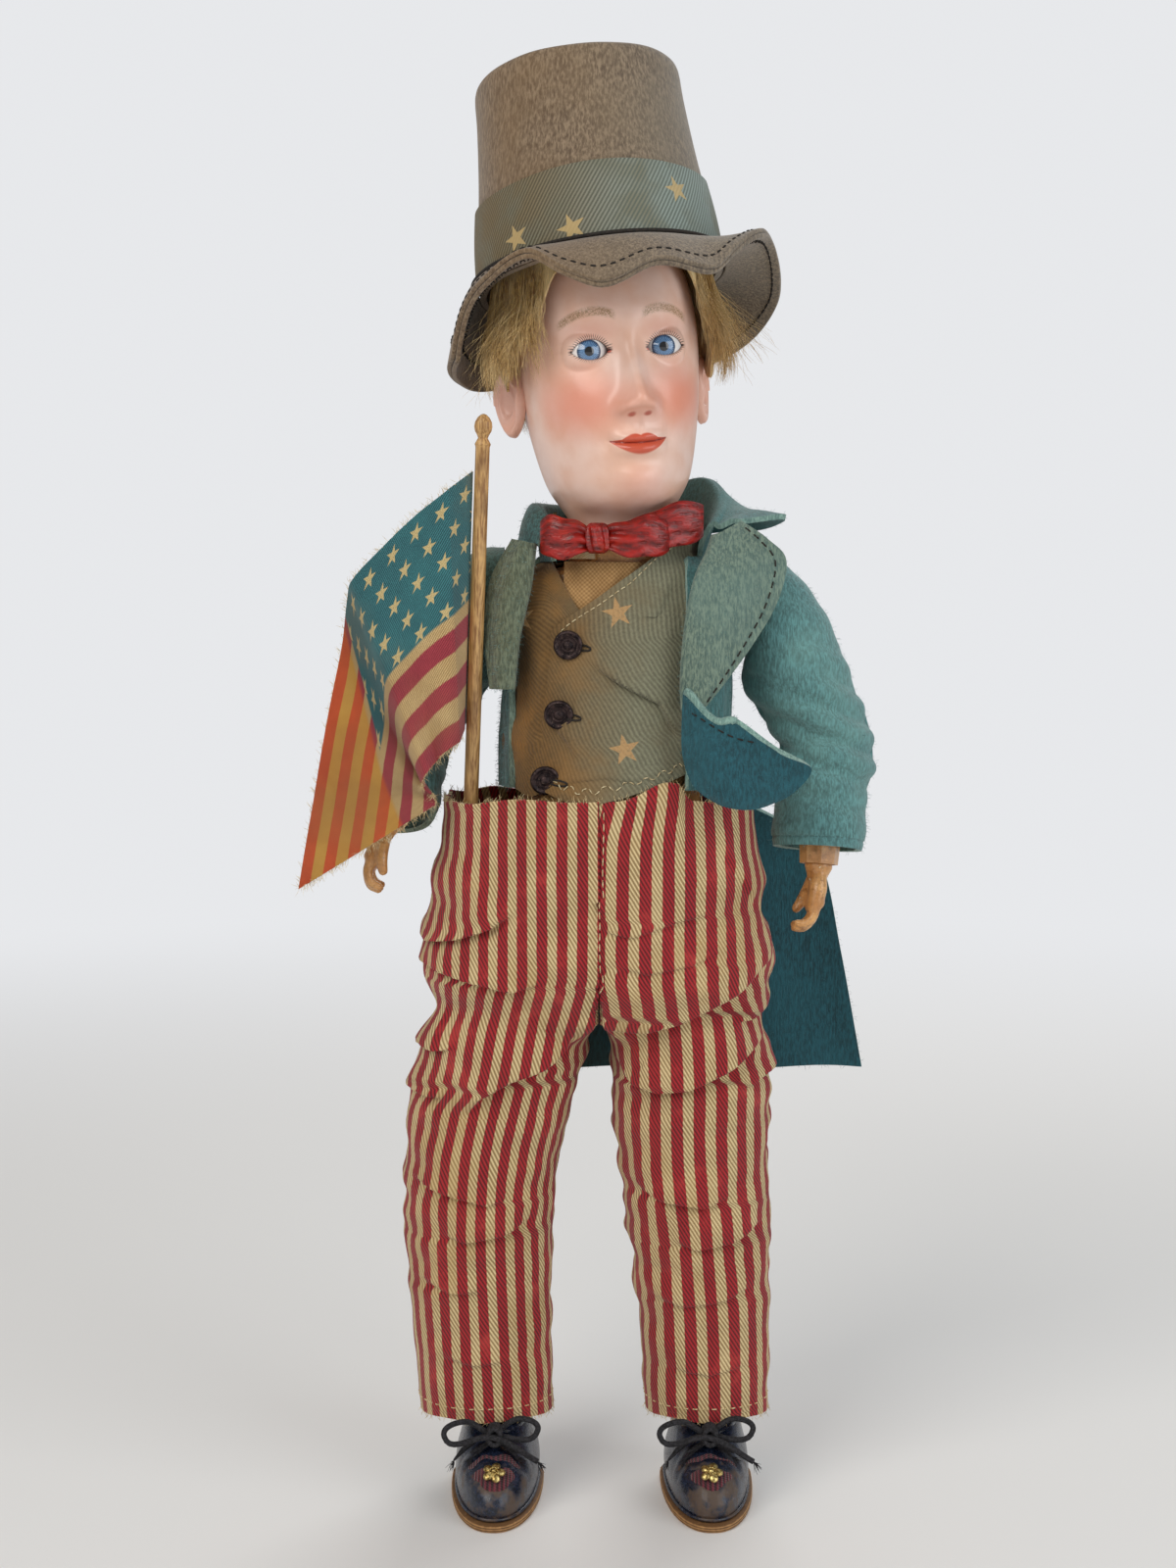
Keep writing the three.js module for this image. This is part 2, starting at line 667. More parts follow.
const ROSETTE_RADIUS = 3.1;
function rosette(side) {
  const rings = [
    [0, 1],
    [0.6, 1.05],
    [1.1, 0.7],
    [0.9, 0.4],
    [1.5, 0.25],
  ].map(([height, share]) =>
    Array.from({ length: 10 }, (_, i) => {
      const a = (TURN * i) / 10;
      const r = ROSETTE_RADIUS * share * (0.9 + 0.14 * Math.cos(5 * a));
      return V(r * Math.cos(a), r * Math.sin(a), height);
    })
  );
  const at = V(side * FOOT_SPREAD, ANKLE_BACK - 31, 13.6);
  return skin(rings).rotateX(degToRad(34)).translate(at.x, at.y, at.z);
}

for (const [name, side] of SIDES) {
  add(doll, `sock_${name}`, sock(side), SOCK_KNIT);
  add(doll, `shoe_upper_${name}`, shoeUpper(side), SHOE_LEATHER);
  add(doll, `shoe_sole_${name}`, shoeSole(side), SOLE_LEATHER);
  add(doll, `shoe_lace_${name}`, shoeLace(side), LACE_CORD);
  add(doll, `shoe_rosette_${name}`, rosette(side), GILT);
}

// Elastic: one cord runs from shin to shin over the neck's hook, and a second from hand to hand.
const NECK_HOOK_DROP = 24; // neck ball to the ring
const NECK_RING_RADIUS = 2.6;
const neckRing = V(lean(NECK_HEIGHT - NECK_HOOK_DROP), 0, NECK_HEIGHT - NECK_HOOK_DROP);
const ringGap = HOOK_RING_RADIUS + HOOK_WIRE_RADIUS + CLEARANCE;

function legElastic() {
  const over = neckRing.clone();
  over.z += HOOK_WIRE_RADIUS + ELASTIC_RADIUS + 3.5 * CLEARANCE - NECK_RING_RADIUS;
  const leg = (side) => {
    const [hip, knee, ankle] = [hipAt(side), kneeAt(side), ankleAt(side)];
    return [
      along(knee, ankle, LEG_HOOK_DROP - ringGap),
      along(knee, ankle, 9),
      knee,
      along(knee, hip, 9),
      along(hip, knee, 9),
      hip,
      V(side * 8, 0, hips(20)),
      V(lean(hips(50)) + side * 5, 0, hips(50)),
      V(over.x + side * 5, 0, over.z - 6),
    ];
  };
  return cord([...leg(RIGHT), over, ...leg(LEFT).reverse()], ELASTIC_RADIUS, { sides: 4, steps: 32 });
}

function armElastic() {
  const arm = (side) => {
    const [shoulder, elbow, wrist] = [shoulderAt(side), elbowAt(side), wristAt(side)];
    return [
      along(wrist, elbow, WRIST_HOOK_RISE + ringGap),
      along(elbow, wrist, 8),
      elbow,
      along(elbow, shoulder, 8),
      along(shoulder, elbow, 8),
      shoulder,
      along(shoulder, armElasticMiddle, 12),
    ];
  };
  return cord([...arm(RIGHT), armElasticMiddle, ...arm(LEFT).reverse()], ELASTIC_RADIUS, { sides: 4, steps: 30 });
}
add(doll, "leg_elastic", legElastic(), ELASTIC);
add(doll, "arm_elastic", armElastic(), ELASTIC);

// Head: hollow bisque with a rounded neck for the socket, eye sockets ground to fit the glass eyes and
// a crown opening that a pate closes. Stations are [height above the neck ball, half width, front, back].
const head = new THREE.Group();
head.position.copy(neckAt);
head.rotation.set(0, degToRad(HEAD_ROLL), degToRad(HEAD_TURN), "ZYX");
doll.add(head);

const HEAD_STATIONS = [
  [-12.4, 3.8, 3.8, 3.8],
  [-10, 8.3, 8.3, 8.3],
  [-5, 12, 12, 12],
  [0, NECK_BALL_RADIUS, NECK_BALL_RADIUS, NECK_BALL_RADIUS],
  [4, 12.6, 12.6, 12.8],
  [8, 13, 13.4, 14],
  [11.5, 14.5, 16, 17],
  [CHIN_HEIGHT, 16.5, 24, 19.5],
  [19, 18.8, 26.6, 21.8],
  [24, 20.5, 26.8, 24],
  [31.5, 22.2, 26.8, 27],
  [36, 23, 26.8, 28.4],
  [41, 23.8, 26.8, 29.7],
  [EYE_HEIGHT, 24.8, 26.8, 31.8],
  [62, 24.7, 26.9, 31.5],
  [70, 23.8, 25.9, 30],
  [77, 21.8, 23.5, 27.4],
  [84, 18, 19.3, 22.8],
  [90, 12.2, 13, 15.4],
  [93.4, 6, 6.4, 7.4],
];
// Swellings and hollows of the face: [x, height, width, tallness, how far out], both sides where x > 0.
const FACE_RELIEF = [
  [0, NOSE_HEIGHT + 1.5, 3.1, 3.6, 6.4],
  [0, NOSE_HEIGHT + 8, 2.6, 6.5, 3.6],
  [3.4, NOSE_HEIGHT, 1.8, 2, 1.6],
  [EYE_SPREAD, EYE_HEIGHT, 5.6, 4, -4],
  [EYE_SPREAD, EYE_HEIGHT + 8.5, 7, 3, 0.8],
  [12.5, NOSE_HEIGHT + 3, 6, 6.5, 1.2],
  [0, MOUTH_HEIGHT + 1.2, 5.2, 1.5, 1.4],
  [0, MOUTH_HEIGHT - 1.8, 4.4, 1.4, 1.3],
  [0, MOUTH_HEIGHT - 5.5, 4.5, 1.8, -0.8],
  [0, CHIN_HEIGHT + 4, 5, 4, 1.2],
];
const hump = (d, width) => Math.exp(-0.5 * (d / width) ** 2);
function faceRelief(x, z) {
  return FACE_RELIEF.reduce((sum, [cx, cz, w, t, out]) => {
    const beside = cx ? hump(x - cx, w) + hump(x + cx, w) : hump(x, w);
    return sum + out * beside * hump(z - cz, t);
  }, 0);
}
function headRings(inset, points, relief) {
  return HEAD_STATIONS.map(([z, w, f, b]) => {
    const ring = oval(z, w - inset, f - inset, b - inset, { points });
    if (relief) for (const p of ring) if (p.y < -8) p.y -= faceRelief(p.x, z) * clamp(-p.y / 8 - 1, 0, 1);
    return ring;
  });
}

const EYE_SOCKET_RADIUS = EYE_RADIUS + 2 * CLEARANCE;

function bisqueHead() {
  const inside = headRings(BISQUE_WALL, 10, false).filter((_, i) => i % 2 === 1);
  const ears = [LEFT, RIGHT].map((side) =>
    ball(1, 8)
      .scale(2.8, 6.2, 9.4)
      .rotateZ(-side * degToRad(26))
      .translate(side * 26.6, 5.5, 44)
  );
  const eyes = [LEFT, RIGHT].map((side) =>
    ballAt(V(side * EYE_SPREAD, -EYE_DEPTH, EYE_HEIGHT), EYE_SOCKET_RADIUS, 12)
  );
  return cut(
    join(skin(headRings(0, 20, true)), ...ears),
    skin(inside),
    rod(V(0, 0, 76), V(0, 0, 110), CROWN_OPENING_RADIUS, 12),
    rod(V(0, 0, -20), V(0, 0, 2), NECK_HOLE_RADIUS, 10),
    ...eyes
  );
}
const NECK_HOLE_RADIUS = 3.4;
add(head, "bisque_head", bisqueHead(), BISQUE);

// The pate is a pressed plaster dome that lies in the crown opening.
function pate() {
  const r = CROWN_OPENING_RADIUS * Math.cos(Math.PI / 12) - CLEARANCE;
  const profile = [
    [0, 90.6],
    [r * 0.6, 89.4],
    [r, 85.4],
    [r, 88.4],
    [r * 0.6, 92.4],
    [0, 93.6],
  ].map(([x, y]) => new THREE.Vector2(x, y));
  return new THREE.LatheGeometry(profile, 12).rotateX(Math.PI / 2);
}
add(head, "head_pate", pate(), PLASTER);

for (const [name, side] of SIDES) {
  const eye = ballAt(V(side * EYE_SPREAD, -EYE_DEPTH, EYE_HEIGHT), EYE_RADIUS, 12);
  add(head, `eye_${name}`, eye, GLASS);
}

// A plaster bar behind the eyes holds them in the head.
function eyeSetting() {
  const depth = 7;
  const bar = new THREE.BoxGeometry(2 * EYE_SPREAD + 7, depth, 5);
  const cups = [LEFT, RIGHT].map((side) =>
    ballAt(V(side * EYE_SPREAD, -EYE_DEPTH, EYE_HEIGHT), EYE_SOCKET_RADIUS, 12)
  );
  return cut(bar.translate(0, -EYE_DEPTH + EYE_RADIUS, EYE_HEIGHT), ...cups);
}
add(head, "eye_setting", eyeSetting(), PLASTER);

// Inside the neck a wooden button carries the hook that the elastic pulls on.
function neckButton() {
  const r = NECK_BALL_RADIUS - BISQUE_WALL - CLEARANCE;
  const profile = [
    [HOOK_WIRE_RADIUS + CLEARANCE, -9.4],
    [NECK_HOLE_RADIUS, -9.4],
    [r * 0.72, -5],
    [r * 0.84, 0],
    [r * 0.5, 3],
    [HOOK_WIRE_RADIUS + CLEARANCE, 3],
    [HOOK_WIRE_RADIUS + CLEARANCE, -9.4],
  ].map(([x, y]) => new THREE.Vector2(x, y));
  return new THREE.LatheGeometry(profile, 10).rotateX(Math.PI / 2);
}
add(head, "neck_button", neckButton(), WOOD);
head.updateMatrixWorld(true);

function neckHook() {
  const eyelet = new THREE.CylinderGeometry(2.2, 2.2, 0.9, 6).rotateX(Math.PI / 2);
  const top = V(0, 0, 3 + CLEARANCE + 0.5);
  const ring = head.worldToLocal(neckRing.clone());
  const shank = rod(top, V(0, 0, -12), HOOK_WIRE_RADIUS, 4);
  const bend = ballAt(V(0, 0, -12), HOOK_WIRE_RADIUS, 6);
  return join(eyelet.translate(0, 0, top.z), shank, bend, wireHook(ring, V(0, 0, -12), NECK_RING_RADIUS));
}
add(head, "neck_hook", neckHook(), IRON);

// Mohair wig: a full cap that comes down at the temples, the ears and the nape.
const WIG_STATIONS = [
  [38, 22, 10, 31.5],
  [44, 27.5, 20, 35],
  [52, 30.2, 27.5, 37.2],
  [60, 31, 29.5, 37.5],
  [68, 30.6, 29.6, 32.6],
  [76, 29.4, 28.6, 29.8],
  [84, 25.6, 25, 28],
  [91, 19, 18.6, 21],
  [97, 9, 9, 10],
  [99, 3, 3, 3],
];
const WIG_EASE = 1;
const HAIRLINE = 71; // the forehead shows below this height
function wig() {
  const rings = WIG_STATIONS.map(([z, w, f, b]) => oval(z, w, f, b, { points: 16 }));
  const scalp = [...HEAD_STATIONS.filter(([z], i) => z > 60 || (z > 31 && i % 2)), [95, 4, 4, 4]];
  const inside = scalp.map(([z, w, f, b]) =>
    oval(z, w + WIG_EASE, f + WIG_EASE, b + WIG_EASE, { points: 16 })
  );
  const ears = [LEFT, RIGHT].map((side) =>
    ball(1, 8)
      .scale(5, 7.8, 11.6)
      .rotateZ(-side * degToRad(26))
      .translate(side * 27, 5.2, 43.8)
  );
  const face = new THREE.BoxGeometry(2 * 21.5, 40, 60).translate(0, -11 - 20, HAIRLINE - 30);
  return cut(skin(rings), skin(inside), face, ...ears);
}
add(head, "mohair_wig", wig(), MOHAIR);

// Hat: a felt crown, a brim of two layers that is bent into waves, and a band.
const hat = new THREE.Group();
hat.position.set(0, 0, HAT_SEAT);
hat.rotation.x = -degToRad(HAT_TILT);
head.add(hat);

// Half width and half depth of the crown's outside at a height above its lower edge.
function crownAt(h) {
  const share = 1 - (1 - CROWN_TOP_SHARE) * (h / CROWN_HEIGHT);
  return [CROWN_HALF_WIDTH * share, CROWN_HALF_DEPTH * share];
}
function crownRing(h, extra, points = 22) {
  const [w, d] = crownAt(h);
  return oval(h, w + extra, d + extra, d + extra, { points });
}
function hatCrown() {
  const edge = 1.6;
  const outside = [0, 27, CROWN_HEIGHT - edge].map((h) => crownRing(h, 0));
  const shoulder = crownRing(CROWN_HEIGHT - edge * 0.3, -edge * 0.4);
  const crown = [crownRing(CROWN_HEIGHT, -edge), crownRing(CROWN_HEIGHT + 0.8, -14)];
  const inside = [-1, CROWN_HEIGHT - FELT_THICKNESS].map((h) => crownRing(h, -FELT_THICKNESS));
  return cut(skin([...outside, shoulder, ...crown]), skin(inside));
}
add(hat, "hat_crown", hatCrown(), HAT_FELT);

// Where the brim's edge lies at an angle round the hat: [degrees, reach from the crown, height].
const BRIM_EDGE = [
  [-180, 8, -19],
  [-165, 8, -11],
  [-148, 9.5, -6],
  [-128, 12, -3],
  [-116, 11.5, -10],
  [-104, 10.5, -14],
  [-86, 10, -9.5],
  [-66, 11.1, -11.8],
  [-54, 12.5, -5],
  [-42, 14, 0],
  [-26, 14, 2],
  [-10, 15, -3.5],
  [5, 16.5, -8.5],
  [22, 15.5, -14],
  [40, 12.5, -17],
  [90, 13.2, -13],
  [140, 9, -20],
  [180, 8, -19],
];
const BRIM_THICKNESS = 2 * FELT_THICKNESS * 0.75;
const brimEdge = (a, column) => through(BRIM_EDGE.map((row) => [row[0], row[column]]), a);

function hatBrim() {
  const around = 28;
  const rings = Array.from({ length: around }, (_, i) => {
    const a = -180 + (360 * i) / around;
    const [c, s] = [Math.cos(degToRad(a)), Math.sin(degToRad(a))];
    const [reach, height] = [brimEdge(a, 1), brimEdge(a, 2)];
    const [w, d] = crownAt(0).map((r) => r + CLEARANCE);
    const at = (t) => V((w + reach * t) * c, (d + reach * t) * s, height * t ** 1.5);
    const spots = [0, 0.5, 1].map(at);
    const outward = V(reach * c, reach * s, height).normalize();
    const up = outward.clone().cross(V(-s, c, 0)).normalize();
    const lift = up.z < 0 ? -BRIM_THICKNESS : BRIM_THICKNESS;
    const top = spots.map((p, k) => (k ? p.clone().addScaledVector(up, lift) : p.clone().setZ(BRIM_THICKNESS)));
    return [...spots, ...top.reverse()];
  });
  return skin(rings, true);
}
add(hat, "hat_brim", hatBrim(), HAT_FELT);

function hatBand() {
  const low = BRIM_THICKNESS + CLEARANCE;
  const rings = [
    [low, CLEARANCE],
    [low, CLEARANCE + BAND_THICKNESS],
    [low + BAND_HEIGHT, CLEARANCE + BAND_THICKNESS],
    [low + BAND_HEIGHT, CLEARANCE],
  ].map(([h, extra]) => crownRing(h, extra));
  return skin(rings, true);
}
add(hat, "hat_band", hatBand(), HAT_RIBBON);

// Clothes of the upper body lie in layers over the chest. Stations are [height above the hips, half
// width, front, back] of the shirt's outside.
const CHEST_STATIONS = [
  [40, 28, 30.2, 17.4],
  [57, 28.2, 28, 17.8],
  [70, 28.4, 25.4, 18.2],
  [84, 28.2, 23.2, 18.6],
  [91, 29.5, 21.6, 18.6],
  [97, 34.4, 19.8, 18.2],
  [103, 34.8, 17.9, 17.2],
  [108, 30.4, 16.9, 16.6],
  [111.5, 22, 16.9, 16.6],
];
const waistcoatOutside = CLEARANCE + CLOTH_THICKNESS;
const coatOutside = waistcoatOutside + CLEARANCE + FELT_THICKNESS;
const chest = (extra, points = 14) => skin(bodyRings(CHEST_STATIONS, extra, points));
// The front of a layer of the chest at a place seen from the front.
function chestFront(x, z, extra) {
  const [w, f] = [1, 2].map((k) => through(CHEST_STATIONS.map((row) => [row[0], row[k]]), z - HIP_HEIGHT) + extra);
  return -f * (1 - Math.abs((x - lean(z)) / w) ** 2.2) ** (1 / 2.2);
}
const below = (z) => beyond(V(0, 0, z), V(0, 0, 1));
const SLEEVE_RADIUS = 13.4;
const ARMHOLE_RADIUS = SLEEVE_RADIUS + CLEARANCE;
const ARMHOLE_DEPTH = 5; // how far an armhole reaches in past the ball of the arm
const armholes = (radius) =>
  SIDES.map(([, side]) => {
    const from = shoulderAt(side);
    from.x -= side * (SHOULDER_BALL_RADIUS + ARMHOLE_DEPTH - 2);
    return rod(from, from.clone().setX(from.x + side * 40), radius / Math.cos(Math.PI / 12), 12);
  });
// The neck opening follows the collar.
const neckOpening = (radius) =>
  rod(V(lean(hips(100)), 0, hips(100)), neckAt.clone().setZ(NECK_HEIGHT + 20), radius, 12);
const COLLAR_RADIUS = 18.3;

// The shirt is only a front, as on most dressed dolls: it fills the waistcoat's opening.
const SHIRT_FRONT_HALF_WIDTH = 19;
function shirtFront() {
  const rows = [197, 212, 228, 242, 254, 262].map((z) =>
    [-1, -0.6, -0.2, 0.2, 0.6, 1].map((t) => {
      const x = lean(z) + t * SHIRT_FRONT_HALF_WIDTH * (z > 250 ? 0.8 : 1);
      return V(x, chestFront(x, z, -CLOTH_THICKNESS), z);
    })
  );
  return slab(rows, CLOTH_THICKNESS);
}
add(doll, "shirt_front", shirtFront(), SHIRTING);

function shirtCollar() {
  const rings = [
    [-1, 0],
    [9, -0.3],
    [9, -0.3 - CLOTH_THICKNESS],
    [-1, -CLOTH_THICKNESS],
  ].map(([h, extra]) => {
    const r = COLLAR_RADIUS + extra;
    return oval(NECK_HEIGHT + h, r, r, r, { x: lean(NECK_HEIGHT), points: 16 });
  });
  return skin(rings, true);
}
add(doll, "shirt_collar", shirtCollar(), SHIRTING);

// The bow lies across the collar's front. Stations are [place along it, half height, half thickness].
const BOW_STATIONS = [
  [-15.2, 3.4, 0.9],
  [-13.4, 5.2, 1.6],
  [-9, 4.8, 2.1],
  [-4.5, 2.6, 1.6],
  [-3.4, 3, 2.3],
  [3, 3, 2.3],
  [4.2, 2.8, 1.6],
  [12, 5, 2.2],
  [22, 6.4, 1.8],
  [27.6, 4.8, 0.9],
];
function bowTie() {
  const middle = V(-1.5, -COLLAR_RADIUS - 2.5, NECK_HEIGHT + 4.4);
  const rings = BOW_STATIONS.map(([s, h, t]) =>
    Array.from({ length: 8 }, (_, i) => {
      const a = (TURN * i) / 8;
      const curl = (s / 25) ** 2 * 4;
      return V(middle.x + s, middle.y + curl + t * Math.cos(a), middle.z + s * 0.07 + h * Math.sin(a));
    })
  );
  return skin(rings);
}
add(doll, "bow_tie", bowTie(), RED_SILK);

// Waistcoat: two fronts and a back with a V neck, closed by three metal buttons.
const V_POINT = V(-8, 0, 246);
function waistcoat() {
  const opening = new THREE.Shape([
    new THREE.Vector2(V_POINT.x, V_POINT.z),
    new THREE.Vector2(26, 274),
    new THREE.Vector2(-20, 274),
  ]);
  const v = new THREE.ExtrudeGeometry(opening, { depth: 60, bevelEnabled: false }).rotateX(Math.PI / 2);
  return cut(
    chest(waistcoatOutside),
    chest(CLEARANCE),
    v,
    neckOpening(COLLAR_RADIUS + 2.5),
    ...armholes(ARMHOLE_RADIUS),
    below(WAISTCOAT_HEM)
  );
}
add(doll, "waistcoat", waistcoat(), WAISTCOAT_TWILL);

const BUTTONS = [
  [-9.2, 242],
  [-11.8, 223.5],
  [-15.5, 206],
];
BUTTONS.forEach(([x, z], i) => {
  const t = BUTTON_THICKNESS;
  const profile = [
    [0, 0],
    [BUTTON_RADIUS * 0.86, 0],
    [BUTTON_RADIUS, t * 0.4],
    [BUTTON_RADIUS * 0.92, t * 0.9],
    [BUTTON_RADIUS * 0.7, t * 0.75],
    [BUTTON_RADIUS * 0.4, t],
    [0, t * 1.1],
  ].map(([r, y]) => new THREE.Vector2(r, y));
  const back = chestFront(x, z, waistcoatOutside) - 1.5;
  const button = new THREE.LatheGeometry(profile, 10).rotateX(Math.PI);
  const shank = rod(V(0, -0.5, 0), V(0, 2 * CLEARANCE, 0), 1.1, 5);
  const made = join(button, shank).rotateX(degToRad(6)).rotateZ(degToRad(-9)).translate(x, back, z);
  add(doll, `waistcoat_button_${i + 1}`, made, HORN);
});

// Tailcoat of thick felt: a back with two tails, two open fronts with lapels, a collar and two sleeves.
const coatLayer = () => [chest(coatOutside), chest(waistcoatOutside + CLEARANCE)];
const COAT_OPENING = 23; // middle of the body to a front's edge

// A tail hangs from the waist over the trousers' seat. Corners are [left, right] at each height.
function tail(stations) {
  const across = 6;
  return slab(
    stations.map(([z, x0, x1, y]) =>
      Array.from({ length: across }, (_, j) => {
        const t = j / (across - 1);
        const wave = Math.sin(TURN * t * 1.2 + 0.6) * 1.4 * clamp((COAT_WAIST - z) / 30, 0, 1);
        return V(x0 + (x1 - x0) * t, y + wave, z);
      })
    ),
    FELT_THICKNESS
  );
}
const LEFT_TAIL = [
  [COAT_WAIST + 7, 4, 24, 20.6],
  [COAT_WAIST, 4, 34, 21.6],
  [196, 6, 44, 27],
  [188, 10, 57, 31],
  [176, 14, 66, 33],
  [150, 20, 71, 34],
  [TAIL_HEM, 26, 77.6, 34.5],
];
const RIGHT_TAIL = [
  [COAT_WAIST + 7, -20, 1, 20.6],
  [COAT_WAIST, -26, 1, 21.6],
  [196, -32, 3, 27],
  [188, -36, 6, 31],
  [176, -38, 10, 33],
  [150, -37, 16, 34],
  [TAIL_HEM, -34, 22, 34.5],
];

function coatBack() {
  const [outside, inside] = coatLayer();
  const neck = neckOpening(COLLAR_RADIUS + 2.5);
  const body = solidOf(
    cut(outside, inside, neck, ...armholes(ARMHOLE_RADIUS), below(COAT_WAIST), beyond(V(0, 0.2, 0), V(0, 1, 0)))
  );
  return geometryOf(body.add(solidOf(tail(LEFT_TAIL))).add(solidOf(tail(RIGHT_TAIL))));
}
add(doll, "coat_back", coatBack(), COAT_FELT);

// Where a front's edge folds into its lapel, and where the lapel ends. Rows are [height, fold's x, how
// far in front of the coat the lapel lies, its edge's x, y and height].
const LEFT_LAPEL = [
  [270, 27.5, -19, 38.5, -16.5, 270.5],
  [262, 25, -21.5, 47.5, -17.5, 262],
  [250, 22.5, -24, 47.5, -19.5, 250],
  [238, 21, -26, 41, -22.5, 238],
  [226, 21.5, -28.5, 26, -29, 226],
];
const RIGHT_LAPEL = [
  [269, -18.6, -17.5, -24, -16, 270],
  [258, -20, -19.5, -30, -16.5, 259],
  [244, -23, -20, -31.5, -17, 244],
  [230, -24.5, -20.5, -30, -18.5, 230],
];
// The lower corner of the left front turns outwards over the waist.
const LEFT_FLARE = [
  [V(21.5, -28.5, 228), V(26, -31, 225), V(33, -34, 221.5)],
  [V(21.2, -30.5, 219), V(31, -35, 217), V(44, -37, 215.5)],
  [V(21.8, -31.5, 211), V(33, -37, 208.5), V(54.5, -37, 210)],
  [V(25, -34, 205), V(35, -38.5, 202.5), V(49.5, -37.5, 204.5)],
  [V(31, -36.5, 201), V(36, -38, 200), V(42, -37.5, 201)],
];
const FRONT_EDGE = { [LEFT]: 22.5, [RIGHT]: -24.5 };

function coatFront(side) {
  const body = cut(
    ...coatLayer(),
    neckOpening(COLLAR_RADIUS + 2.5),
    ...armholes(ARMHOLE_RADIUS),
    below(COAT_WAIST),
    beyond(V(0, -0.2, 0), V(0, -1, 0)),
    beyond(V(FRONT_EDGE[side], 0, 0), V(side, 0, 0))
  );
  const lapel = (side === LEFT ? LEFT_LAPEL : RIGHT_LAPEL).map(([z, x, y, x1, y1, z1]) => {
    const seam = V(x + side * 3, chestFront(x + side * 3, z, coatOutside + 0.9) || y, z);
    if (z > 262) seam.copy(V(x + side * 2, y + 2, z));
    return [seam, V(x, y, z), V((x + x1) / 2, Math.min(y, y1) - 0.6, (z + z1) / 2), V(x1, y1, z1)];
  });
  const pieces = [body, slab(lapel, FELT_THICKNESS)];
  if (side === LEFT) pieces.push(slab(LEFT_FLARE, FELT_THICKNESS));
  return join(...pieces);
}
for (const [name, side] of SIDES) add(doll, `coat_front_${name}`, coatFront(side), COAT_FELT);

// The collar stands up round the neck and turns down. Stations are [degrees round the neck from the
// viewer's right, top of the stand, radius there, radius and height of the fall's edge].
const COAT_COLLAR = [
  [-24, 275, 27, 36, 274.5],
  [-12, 278, 27, 44, 276.5],
  [8, 282.5, 27, 38, 273],
  [32, 287, 28, 34, 273],
  [60, 285, 27.8, 32.5, 271.5],
  [90, 281.5, 27, 31, 269.5],
  [125, 280, 26.4, 30.5, 269],
  [160, 280, 25, 29.5, 269],
  [190, 279, 24, 28.5, 269],
  [212, 272, 23.5, 27, 268.5],
];
function coatCollar() {
  const foot = 264.4;
  const rows = COAT_COLLAR.map(([degrees, top, r, fall, fallZ]) => {
    const a = degToRad(degrees);
    const at = (radius, z) => V(neckAt.x + radius * Math.cos(a), radius * Math.sin(a), z);
    return [at(22.6, foot), at(23.4, (foot + top) / 2), at(r - 1.3, top - 1), at(r + 1.4, top - 0.6), at(fall, fallZ)];
  });
  return slab(rows, FELT_THICKNESS * 0.8);
}
add(doll, "coat_collar", coatCollar(), COAT_FELT);

// A sleeve starts upright in the armhole and bends down round the arm. Stations are [0 on the upper arm
// and 1 on the forearm, distance along it, radius, how far it has turned from sideways to the arm's line].
const SLEEVE_STATIONS = [
  [0, -4.5, SLEEVE_RADIUS, 0],
  [0, 1, 13.6, 0.12],
  [0, 9, 14.8, 0.5],
  [0, 18, 14.6, 0.8],
  [0, 34, 13.4, 1],
  [1, 0, 12.6, 1],
  [1, 7, 13.2, 1],
  [1, 16, 12.4, 1],
  [1, 25, 12.9, 1],
  [1, 31, 12.4, 1],
];
function sleeve(side) {
  const points = [shoulderAt(side), elbowAt(side), wristAt(side)];
  const sideways = V(side, 0, 0);
  const rings = (inset) =>
    SLEEVE_STATIONS.map(([bone, distance, radius, turn]) => {
      const line = towards(points[bone], points[bone + 1]);
      const before = towards(points[0], points[1]);
      const n = sideways.clone().lerp(bone && distance === 0 ? line.add(before).normalize() : line, turn);
      n.normalize();
      const centre = points[bone].clone();
      if (turn === 0) centre.addScaledVector(sideways, distance);
      else centre.addScaledVector(towards(points[bone], points[bone + 1]), distance);
      centre.x += side * 0.5 * (radius - SLEEVE_RADIUS);
      const u = V(0, 1, 0).addScaledVector(n, -n.y).normalize();
      const v = n.clone().cross(u);
      return Array.from({ length: 10 }, (_, i) => {
        const a = (TURN * i) / 10;
        const fold = turn === 0 ? 0 : 0.5 * Math.sin(3 * a + distance * 0.5 + bone * 2);
        const r = radius - inset + fold;
        return centre.clone().addScaledVector(u, r * Math.cos(a)).addScaledVector(v, r * Math.sin(a));
      });
    });
  return skin([...rings(0), ...rings(FELT_THICKNESS).reverse()], true);
}
for (const [name, side] of SIDES) add(doll, `coat_sleeve_${name}`, sleeve(side), COAT_FELT);

